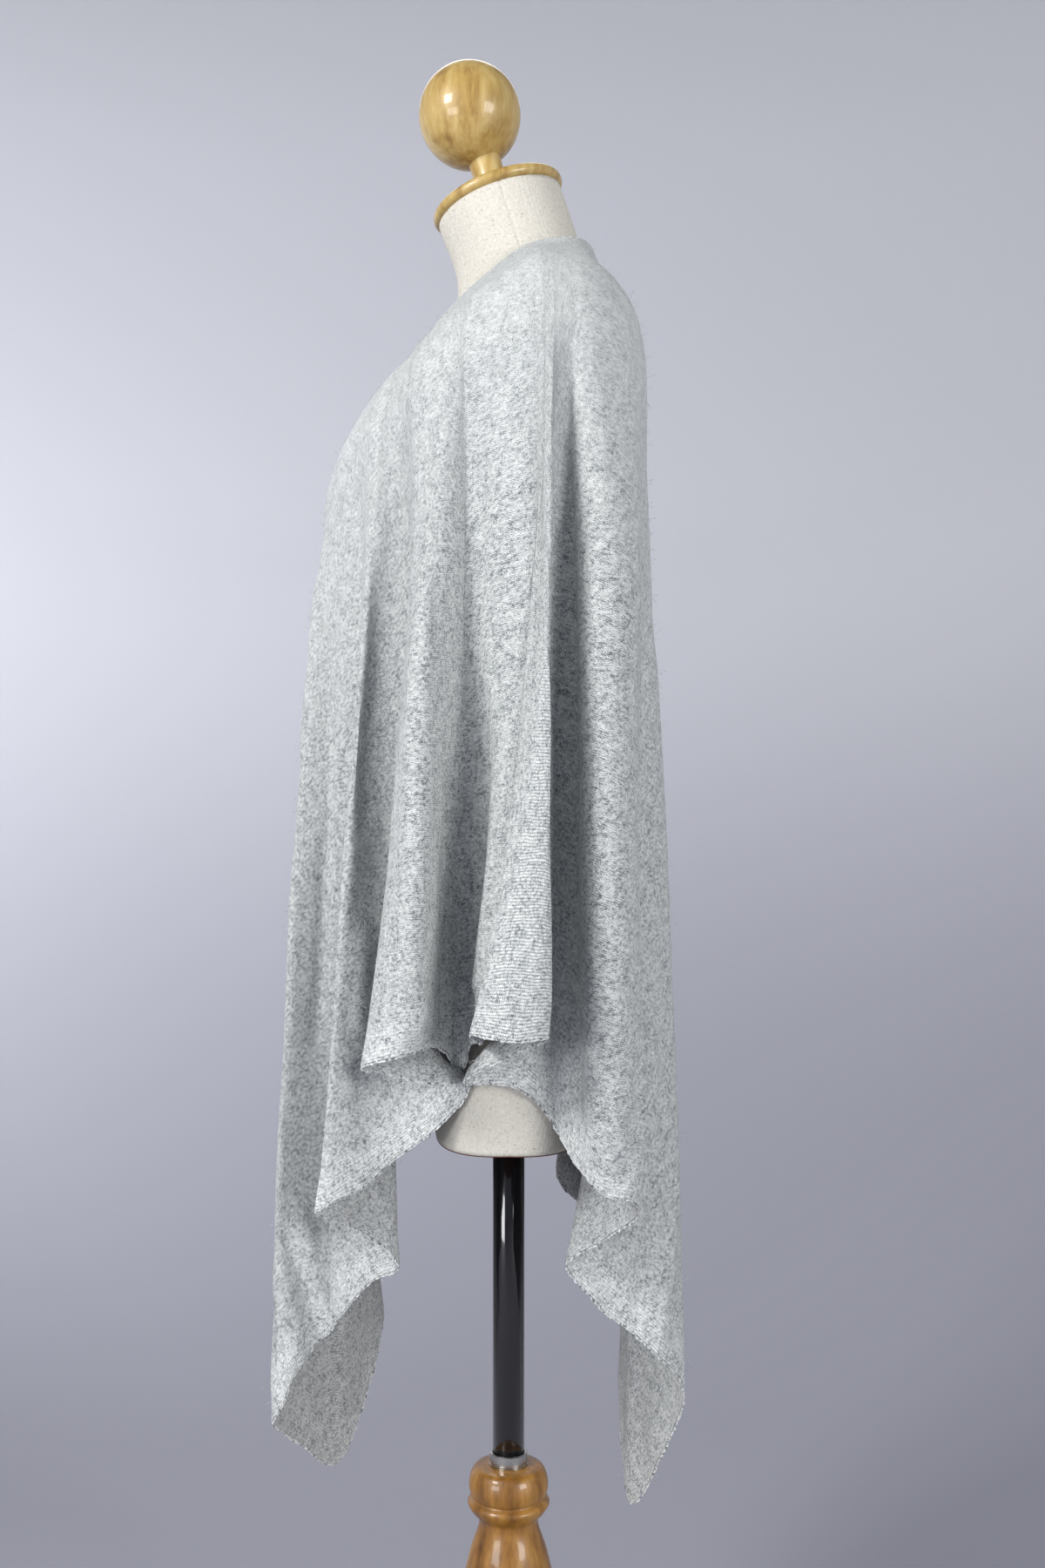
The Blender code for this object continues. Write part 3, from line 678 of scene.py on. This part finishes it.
# each hanging line: where it meets the hem, the direction it hangs from in degrees, and how far it bows out
Line = namedtuple("Line", "name hemX hemY hemZ angle bow")
hangingLines = inMetres(Line, 3, (
    ("right seam", -222, 6, 790, 180, 0.2),
    ("right arm front edge", -212, -24, 768, 172, 0.2),
    ("right arm valley", -166, -36, 730, 163, 0.0),
    ("right arm ridge", -200, -88, 692, 150, 0.3),
    ("right ridge return", -166, -84, 662, 142, 0.0),
    ("right inner turn", -140, -60, 634, 135, -0.3),
    ("right front middle", -133, -104, 604, 128, 0.2),
    ("right front ridge", -140, -154, 568, 119, 0.6),
    ("right front return", -106, -130, 520, 112, 0.3),
    ("front end edge", -84, -108, 470, 106, 0.0),
    ("front corner edge", -66, -118, 415, 102, 0.2),
    ("front corner", -50, -139, 358, 97, 0.6),
    ("front under layer", -6, -164, 392, 86, 0.9),
    ("front main ridge", 60, -176.5, 446, 66, 0.9),
    ("front upper layer", 40, -135, 500, 53, 0.6),
    ("front upper bend", 44, -106, 533, 46, 0.4),
    ("front inner turn", 60, -82, 552, 41.5, 0.2),
    ("second return", 88, -108, 583, 38, 0.1),
    ("second ridge", 138, -131, 611, 34, -0.1),
    ("second layer", 120, -88, 638, 31, 0.5),
    ("second layer start", 122, -53, 663, 28.5, 0.3),
    ("flap end", 126, -40, 689, 27, 0.1),
    ("third return", 160, -61, 703, 25.5, 0.0),
    ("third return edge", 168, -88, 713, 24, -0.3),
    ("third ridge", 188, -95, 720, 22, -0.5),
    ("third crest", 200, -71, 728, 18.5, 0.15),
    ("third layer", 172, -51, 728, 15.5, 0.4),
    ("strip valley", 134, -33, 726, 13, 0.4),
    ("strip face", 158, -23, 731, 7, 0.0),
    ("strip under", 182, -16, 735, 2.6, -1.8),
    ("strip front edge", 212, -22, 740, -0.75, -1.2),
    ("strip middle", 222, 3, 741, -1.7, -1.0),
    ("strip back edge", 212, 27, 739, -2.8, -0.3),
    ("left side", 186, 8, 728, -3.7, 0.0),
    ("strip hollow", 150, -7, 711, -4.7, -0.1),
    ("fourth layer start", 138, 10, 698, -5.7, 0.4),
    ("fourth valley", 129, 37, 664, -7, 0.9),
    ("fourth layer", 150, 49, 644, -9, 0.6),
    ("fourth crest", 163, 65, 628, -14, 0.2),
    ("fourth ridge", 138, 93, 613, -26, 0.4),
    ("fourth return", 98, 72, 580, -36, -0.2),
    ("back inner turn", 74, 44, 553, -46, -1.0),
    ("fifth layer", 60, 78, 513, -55, -0.2),
    ("fifth crest", 46, 113, 478, -65, 0.3),
    ("back main ridge", 20, 136, 446, -77, 0.4),
    ("back under layer", -18, 130, 395, -88, 0.6),
    ("back corner", -50, 101, 326, -97, 0.3),
    ("back corner edge", -60, 96, 380, -101, 0.0),
    ("back end edge", -74, 97, 445, -106, 0.0),
    ("right back ridge", -102, 130, 498, -115, 0.4),
    ("right back return", -106, 82, 545, -125, -0.4),
    ("right back turn", -98, 42, 583, -133, -1.0),
    ("right back middle", -146, 60, 634, -141, -0.2),
    ("right back arm ridge", -184, 94, 680, -149, 0.3),
    ("right back arm valley", -166, 48, 732, -162, 0.0),
    ("right arm back edge", -210, 36, 768, -171, 0.2),
    ("right seam again", -222, 6, 790, -180, 0.2),
))

poncho = {
    "wall": 0.002,
    "sharp": math.radians(60),
    "topLevels": 8,
    "levels": (0.07, 0.16, 0.26, 0.37, 0.48, 0.59, 0.70, 0.80, 0.90, 1.0),
    "columns": 560,
    "rows": 132,
    "hemTries": 8000,
    "seed": 11,
    "ripple": 0.00096,  # the small unevenness of soft cloth
    "waves": ((46, 5, 1.0), (90, 9, 0.5)),  # how many of them round and down, and how strong
    "rippleFade": (0.10, 0.55),  # shares of the fall where they begin and are full
    "creaseEnd": 0.3,  # the share of a crease over which it fades
    "hemCrease": 0.05,  # a crease that ends lower than this runs over the hem
    "flutter": 0.0012,
    "flutterEach": 5,
    "hemShare": 0.022,
    "neckRoll": 0.0022,
    "neckShare": 0.012,
    "tuckFade": (0.962, 1.0),
}

# creases laid over the main folds, drawn on the flat cut: from, to, half width and height
# (a ridge is +, a trough is -); the long hem is at y = 0, the neck and the seam at y = 660
Crease = namedtuple("Crease", "name fromX fromY toX toY width depth")
creases = inMetres(Crease, 6, (
    ("strip's dark side", 24, 475, -180, 40, 15, -7.2),
    ("fourth crest", -12, 500, -222, 30, 15, 7.5),
    ("fourth crest fall", -60, 460, -255, 20, 8, -2.2),
    ("strip's front line", 102, 470, 96, 160, 7, -2.8),
    ("strip's sharp edge", 64, 250, 84, 40, 6, 3.4),
    ("behind the sharp edge", 91, 270, 100, 20, 9, -7.4),
    ("third valley", 124, 250, 139, 10, 15, -5.2),
    ("third crest shoulder", 160, 360, 176, 20, 11, 4.8),
    ("third crest streak", 150, 470, 148, 250, 8, -2),
    ("second valley", 233, 420, 330, 210, 11, -4.5),
    ("second layer rise", 335, 185, 400, 50, 11, 5),
    ("second layer streak", 372, 150, 392, 20, 7, -2.4),
    ("second ridge fall", 290, 450, 480, 220, 9, 2.6),
    ("outer fold line", 405, 330, 540, 160, 7, -3.4),
    ("outer fold streak", 440, 335, 560, 170, 8, 2),
    ("chest sweep high", 270, 560, 360, 430, 14, 2),
    ("chest sweep low", 310, 500, 420, 360, 12, 2.2),
    ("shoulder sweep", 165, 560, 225, 440, 12, -2.2),
    ("front corner bend", 600, 110, 640, 0, 8, 4.5),
    ("front corner trough", 618, 104, 652, 5, 6, -3.8),
    ("front corner flap", 636, 92, 672, 0, 9, 3.6),
    ("front corner nick", 662, 80, 690, 10, 6, -3),
    ("fourth tip crease", -232, 120, -256, 0, 7, 3.4),
    ("fifth line", -150, 440, -300, 230, 9, -3),
    ("fifth streak", -320, 230, -400, 80, 8, 3.2),
    ("back low crease", -395, 120, -452, 10, 7, -3.4),
    ("back low ridge", -420, 140, -480, 10, 8, 3.2),
    ("back corner nick", -560, 60, -630, 8, 7, -3),
    ("back shoulder sweep", -120, 580, -210, 400, 14, -2.6),
    ("back blade sweep", -230, 600, -330, 420, 16, 2.6),
    ("back middle line", -290, 490, -440, 200, 18, -4.8),
    ("back middle streak", -360, 470, -520, 180, 13, 4.6),
    ("back right line", -440, 510, -610, 260, 17, -4.6),
    ("back right streak", -530, 440, -650, 250, 13, 3.4),
    ("back arm sweep", -500, 620, -660, 480, 14, 2.6),
    ("front middle line", 450, 510, 620, 170, 19, -5.4),
    ("front middle streak", 520, 460, 650, 120, 14, 5),
    ("front breast sweep", 430, 590, 560, 430, 15, -2.4),
    ("front right line", 590, 520, 740, 260, 17, -4.6),
    ("front right streak", 650, 450, 800, 180, 13, 3.4),
    ("front arm sweep", 660, 620, 820, 520, 13, 2.4),
    ("right arm fall", 520, 628, 800, 590, 12, -4.2),
    ("right arm streak", 560, 605, 830, 540, 11, 4.4),
    ("right flank line", 540, 585, 820, 470, 13, -4.6),
    ("right flank streak", 600, 545, 830, 420, 11, 3.8),
    ("back arm fall", -330, 622, -600, 575, 13, -4.4),
    ("back arm streak", -400, 600, -660, 535, 10, 4),
    ("back flank line", -380, 570, -640, 450, 14, -4.6),
    ("back flank streak", -420, 545, -660, 400, 11, 4),
    ("front end crease", 720, 230, 830, 60, 9, -4),
    ("back end crease", -560, 240, -650, 80, 12, -2.6),
))

# short turns of the hem itself: place from the strip's middle, half width, and how far the edge moves
Tuck = namedtuple("Tuck", "name hemPlace width moveX moveY moveZ")
tucks = inMetres(Tuck, 5, (
    ("behind the strip", -93, 30, 0, -26, -10),
    ("strip valley", 112, 13, 0, 0, -19),
    ("under the third fold", 306, 24, 6, 17, 6),
    ("fourth tip", -262, 20, 3, -4, 2),
    ("front corner", 705, 22, 4, 5, -3),
    ("back low flap", -610, 18, 8, 0, 4),
))


def layOut():
    # the middle surface of the cloth, its place in the flat cut and its place along the hem
    table = np.array([line[1:] for line in hangingLines])
    knots = runningSum(np.sqrt(stepLengths(table[:, :3])))
    tries = np.linspace(0, knots[-1], poncho["hemTries"])
    run = runningSum(stepLengths(spline(knots, table, tries)[:, :3]))
    names = [line.name for line in hangingLines]
    frontCorner, middle, leftSide, backCorner = [
        np.interp(knots[names.index(name)], tries, run)
        for name in ("front corner", "strip middle", "left side", "back corner")]
    parting = round(leftSide / run[-1] * (poncho["columns"] - 1))
    firstRuns = np.linspace(0, leftSide, parting + 1)
    lastRuns = np.linspace(leftSide, run[-1], poncho["columns"] - parting)
    runs = np.concatenate([firstRuns, lastRuns[1:]])
    read = spline(knots, table, np.interp(runs, run, tries))
    hem, angles, bow = read[:, :3], np.radians(read[:, 3]), read[:, 4:5]
    rows = [ringPoints(ring, angles) for ring in ringsBetween(clothRings, poncho["topLevels"])]
    top = rows[-1]
    for level in poncho["levels"]:
        row = top + (hem - top) * (level + bow * level * (1 - level))
        row[:, 2] = top[:, 2] + (hem[:, 2] - top[:, 2]) * level
        rows.append(row)
    rows = np.stack(rows)
    down = runningSum(stepLengths(rows).mean(axis=1))
    flat = rows.reshape(len(rows), -1)
    grid = spline(down, flat, np.linspace(0, down[-1], poncho["rows"])).reshape(poncho["rows"], -1, 3)

    # the same lines drawn on the flat rectangle, from the neck edge or the seam to the hem or the short end
    hemRun = middle - runs
    hemScale = 2 * knit["cutWidth"] / (backCorner - frontCorner)
    frontEnd = (middle - frontCorner) * hemScale
    backEnd = (middle - backCorner) * hemScale
    fold = (frontEnd + backEnd) / 2
    frontPast = np.clip(frontCorner - runs, 0, None) * knit["cutLength"] / frontCorner
    backPast = np.clip(runs - backCorner, 0, None) * knit["cutLength"] / (run[-1] - backCorner)
    hemCut = np.stack([np.clip(hemRun * hemScale, backEnd, frontEnd), frontPast + backPast], axis=1)
    neckCut = np.stack([fold + knit["neckHalf"] * read[:, 3] / 180,
                        np.full(len(runs), knit["cutLength"])], axis=1)
    share = np.concatenate([np.zeros((1, len(runs))), np.cumsum(stepLengths(grid), axis=0)])
    share /= share[-1]
    cut = neckCut + (hemCut - neckCut) * share[:, :, None]
    print("cut: long hem %.3f m, ends %.3f and %.3f m, fold at %.3f m" % (
        backCorner - frontCorner, frontCorner, run[-1] - backCorner, fold))
    return grid, cut, hemRun, share, parting


def normalsOf(grid):
    down = np.gradient(grid, axis=0)
    along = np.gradient(grid, axis=1)
    for field in (down, along):
        field[:, 0] = field[:, -1] = (field[:, 0] + field[:, -1]) / 2
    normals = np.cross(down, along)
    return normals / np.linalg.norm(normals, axis=2, keepdims=True)


def crumple(grid, cut, hemRun, share):
    # small soft unevenness, longer down the fall than across it, then the named creases
    rng = np.random.default_rng(poncho["seed"])
    rows, columns = grid.shape[:2]
    amount = np.zeros((rows, columns))
    for across, downwards, size in poncho["waves"]:
        values = rng.normal(0, 1, (downwards + 1, across + 1))
        values[:, -1] = values[:, 0]
        upDown = spline(np.linspace(0, 1, downwards + 1), values, np.linspace(0, 1, rows))
        amount += size * spline(np.linspace(0, 1, across + 1), upDown.T, np.linspace(0, 1, columns)).T
    amount *= poncho["ripple"] * fade(share, *poncho["rippleFade"])
    end = poncho["creaseEnd"]
    for crease in creases:
        start = np.array([crease.fromX, crease.fromY])
        way = np.array([crease.toX, crease.toY]) - start
        along = (cut - start) @ way / (way @ way)
        off = np.linalg.norm(cut - start - np.clip(along, 0, 1)[:, :, None] * way, axis=2)
        runsOut = 1.0 if crease.toY < poncho["hemCrease"] else 1 - fade(along, 1 - end, 1.0)
        amount += crease.depth * np.exp(-(off / crease.width) ** 2) * fade(along, 0.0, end) * runsOut
    # the free edges flutter a little, and the neck edge rolls
    flutter = rng.normal(0, 1, (2, columns // poncho["flutterEach"]))
    flutter[:, -1] = flutter[:, 0]
    knots = np.linspace(0, 1, flutter.shape[1])
    flutter = spline(knots, flutter.T, np.linspace(0, 1, columns)).T * poncho["flutter"]
    nearHem = np.exp(-((1 - share) / poncho["hemShare"]) ** 2)
    amount += nearHem * flutter[0] + np.exp(-(share / poncho["neckShare"]) ** 2) * poncho["neckRoll"]
    grid = grid + normalsOf(grid) * amount[:, :, None]
    grid[:, :, 2] += nearHem * flutter[1]
    for tuck in tucks:
        reach = np.exp(-((hemRun - tuck.hemPlace) / tuck.width) ** 2) * fade(share, *poncho["tuckFade"])
        grid += reach[:, :, None] * np.array(tuck[3:])
    return grid


def makePanel(name, columns, node):
    # a closed wall on both sides of the middle surface, with the flat cut as its UV map
    middle, flat = grid[:, columns], cut[:, columns].reshape(-1, 2)
    aside = clothNormals[:, columns] * (poncho["wall"] / 2)
    points = np.concatenate([(middle + aside).reshape(-1, 3), (middle - aside).reshape(-1, 3)])
    over = np.arange(len(flat)).reshape(middle.shape[:2])
    under = over + len(flat)
    sides = [quads(over[:-1, :-1], over[1:, :-1], over[1:, 1:], over[:-1, 1:]),
             quads(under[:-1, :-1], under[:-1, 1:], under[1:, 1:], under[1:, :-1])]
    rims = [quads(over[0, :-1], over[0, 1:], under[0, 1:], under[0, :-1]),
            quads(over[-1, :-1], under[-1, :-1], under[-1, 1:], over[-1, 1:]),
            quads(over[:-1, 0], under[:-1, 0], under[1:, 0], over[1:, 0]),
            quads(over[:-1, -1], over[1:, -1], under[1:, -1], under[:-1, -1])]
    faces = np.concatenate(sides + rims)
    mesh = bpy.data.meshes.new(name)
    mesh.from_pydata(points, [], faces)
    mesh.validate()
    layer = mesh.uv_layers.new(name="cut")
    corners = np.empty(len(mesh.loops), np.int32)
    mesh.loops.foreach_get("vertex_index", corners)
    layer.data.foreach_set("uv", flat[corners % len(flat)].astype(np.float32).ravel())
    slots = np.zeros(len(faces), np.int32)
    slots[len(sides[0]):2 * len(sides[0])] = 1
    mesh.polygons.foreach_set("material_index", slots)
    mesh.shade_smooth()
    mesh.set_sharp_from_angle(angle=poncho["sharp"])
    panel = addObject(name, mesh, knitFace, knitBack)
    placePiece(panel, "knit", node)
    return panel


grid, cut, hemRun, share, parting = layOut()
grid = crumple(grid, cut, hemRun, share)
clothNormals = normalsOf(grid)
frontHalf, backHalf = slice(0, parting + 1), slice(parting, None)
ponchoFront = makePanel("ponchoFront", frontHalf, "poncho_front")
ponchoBack = makePanel("ponchoBack", backHalf, "poncho_back")
print("poncho panels made:", [len(panel.data.polygons) for panel in (ponchoFront, ponchoBack)])

seamLift = 0.0016  # the seam's stitches sit on top of the cloth

# inputs of the two node trees
chain = {
    "Link spacing": 0.0029,  # one bind-off loop for each wale
    "Link length": 0.0042,
    "Link width": 0.0021,
    "Yarn radius": 0.00062,
    "Yarn": yarn,
}

fuzz = {
    "Density": 5200.0,  # fibres to the square metre
    "Fibre length": 0.0060,
    "Fibre radius": 0.0001,
    "Seed": 5,
    "Yarn": yarn,
}


def newTree(name, values):
    # a tree that takes a geometry and one named input for each value
    kinds = {float: "NodeSocketFloat", int: "NodeSocketInt"}
    tree = bpy.data.node_groups.new(name, "GeometryNodeTree")
    tree.interface.new_socket("Geometry", in_out="INPUT", socket_type="NodeSocketGeometry")
    for label, value in values.items():
        kind = kinds.get(type(value), "NodeSocketMaterial")
        tree.interface.new_socket(label, in_out="INPUT", socket_type=kind).default_value = value
    tree.interface.new_socket("Geometry", in_out="OUTPUT", socket_type="NodeSocketGeometry")
    add = partial(addNode, tree)
    return tree, add, add("NodeGroupInput").outputs


def endTree(add, given, instances):
    # makes the instances real and dresses them in yarn
    real = add("GeometryNodeRealizeInstances", links={"Geometry": instances})
    dressed = add("GeometryNodeSetMaterial", links={"Geometry": real, "Material": given["Yarn"]})
    add("NodeGroupOutput", links={0: dressed})


def chainTree():
    # loops of yarn, one behind the other, along every edge of a path mesh
    tree, add, given = newTree("edge chain", chain)
    path = add("GeometryNodeMeshToCurve", links={"Mesh": given["Geometry"]})
    even = add("GeometryNodeResampleCurve", {"mode": "LENGTH"},
               {"Curve": path, "Length": given["Link spacing"]})
    tangent = add("GeometryNodeInputTangent")
    sideways = add("GeometryNodeInputNamedAttribute", {"data_type": "FLOAT_VECTOR", "Name": "side"})
    turn = add("FunctionNodeAlignRotationToVector", {"axis": "X"}, {"Vector": tangent})
    face = add("FunctionNodeAlignRotationToVector", {"axis": "Z", "pivot_axis": "X"},
               {"Rotation": turn, "Vector": sideways})
    ring = add("GeometryNodeCurvePrimitiveCircle", {"mode": "RADIUS", "Resolution": 7, "Radius": 0.5})
    loopSize = add("CombineXYZ", {"Z": 1.0}, {"X": given["Link length"], "Y": given["Link width"]})
    loop = add("GeometryNodeTransform", links={"Geometry": ring, "Scale": loopSize})
    strand = add("GeometryNodeCurvePrimitiveCircle", {"mode": "RADIUS", "Resolution": 4},
                 {"Radius": given["Yarn radius"]})
    link = add("GeometryNodeCurveToMesh", links={"Curve": loop, "Profile Curve": strand})
    smooth = add("GeometryNodeSetShadeSmooth", links={"Geometry": link})
    uneven = add("FunctionNodeRandomValue", {
        "data_type": "FLOAT_VECTOR", 0: (0.8, 0.7, 0.8), 1: (1.2, 1.7, 1.2), "Seed": 3})
    placed = add("GeometryNodeInstanceOnPoints", links={
        "Points": even, "Instance": smooth, "Rotation": face, "Scale": uneven})
    endTree(add, given, placed)
    return tree


def fuzzTree():
    # loose bent fibres that stand off a cloth at any slant
    tree, add, given = newTree("loose fibres", fuzz)
    spots = add("GeometryNodeDistributePointsOnFaces", {"distribute_method": "RANDOM"},
                {"Mesh": given["Geometry"], "Density": given["Density"], "Seed": given["Seed"]})
    lean = add("FunctionNodeRandomValue", {
        "data_type": "FLOAT_VECTOR", 0: (-1.1, -1.1, -3.14), 1: (1.1, 1.1, 3.14)}, {"Seed": given["Seed"]})
    slant = add("FunctionNodeRotateRotation", {"rotation_space": "LOCAL"},
                {"Rotation": spots.outputs["Rotation"], "Rotate By": lean})
    size = add("FunctionNodeRandomValue", {2: 0.35, 3: 1.25}, {"Seed": given["Seed"]})
    length = add("Math", {"operation": "MULTIPLY"}, {0: given["Fibre length"], 1: size.outputs[1]})
    bend = add("GeometryNodeCurveQuadraticBezier", {
        "Resolution": 3, "Start": (0, 0, -0.1), "Middle": (0.1, 0.05, 0.6), "End": (0.75, 0.2, 0.7)})
    thin = add("Math", {"operation": "DIVIDE"}, {0: given["Fibre radius"], 1: given["Fibre length"]})
    hair = add("GeometryNodeCurvePrimitiveCircle", {"mode": "RADIUS", "Resolution": 3}, {"Radius": thin})
    fibre = add("GeometryNodeCurveToMesh", links={"Curve": bend, "Profile Curve": hair})
    placed = add("GeometryNodeInstanceOnPoints", links={
        "Points": spots, "Instance": fibre, "Rotation": slant, "Scale": length})
    endTree(add, given, placed)
    return tree


def grow(host, tree, values):
    # sets a tree's inputs by their sockets' identifiers, and keeps what it makes as a plain mesh
    modifier = host.modifiers.new("grow", "NODES")
    modifier.node_group = tree
    for item in tree.interface.items_tree:
        if item.item_type == "SOCKET" and item.in_out == "INPUT" and item.name in values:
            modifier[item.identifier] = values[item.name]
    graph = bpy.context.evaluated_depsgraph_get()
    mesh = bpy.data.meshes.new_from_object(host.evaluated_get(graph), depsgraph=graph)
    name = host.name
    bpy.data.objects.remove(host, do_unlink=True)
    mesh.materials.clear()
    mesh.name = name
    piece = addObject(name, mesh, yarn)
    placePiece(piece, "knit")
    return piece


def pathMesh(name, runs):
    # paths as edges only, each with a vector that says which way its stitches face
    points, edges, sides = [], [], []
    for line, side in runs:
        first = len(points)
        points += line.tolist()
        sides += side.tolist()
        edges += [(first + i, first + i + 1) for i in range(len(line) - 1)]
    mesh = bpy.data.meshes.new(name)
    mesh.from_pydata(points, edges, [])
    mesh.attributes.new("side", "FLOAT_VECTOR", "POINT").data.foreach_set("vector", np.array(sides).ravel())
    return addObject(name, mesh)


def makeEdgeChain(name, columns, withSeam):
    # loops along the hem and the neck edge, and on one panel down the right seam
    part, facing = grid[:, columns], clothNormals[:, columns]
    paths = [(part[-1], facing[-1]), (part[0], facing[0])]
    if withSeam:
        paths.append((part[:, 0] + facing[:, 0] * seamLift, facing[:, 0]))
    return grow(pathMesh(name, paths), chainNodes, chain)


chainNodes = chainTree()
frontChain = makeEdgeChain("frontEdgeChain", frontHalf, True)
backChain = makeEdgeChain("backEdgeChain", backHalf, False)
print("edge chains made:", len(frontChain.data.polygons) + len(backChain.data.polygons))
fuzzNodes = fuzzTree()
frontFuzz = grow(addObject("frontFuzz", ponchoFront.data.copy()), fuzzNodes, fuzz)
backFuzz = grow(addObject("backFuzz", ponchoBack.data.copy()), fuzzNodes, fuzz)
print("loose fibres made:", len(frontFuzz.data.polygons) + len(backFuzz.data.polygons))
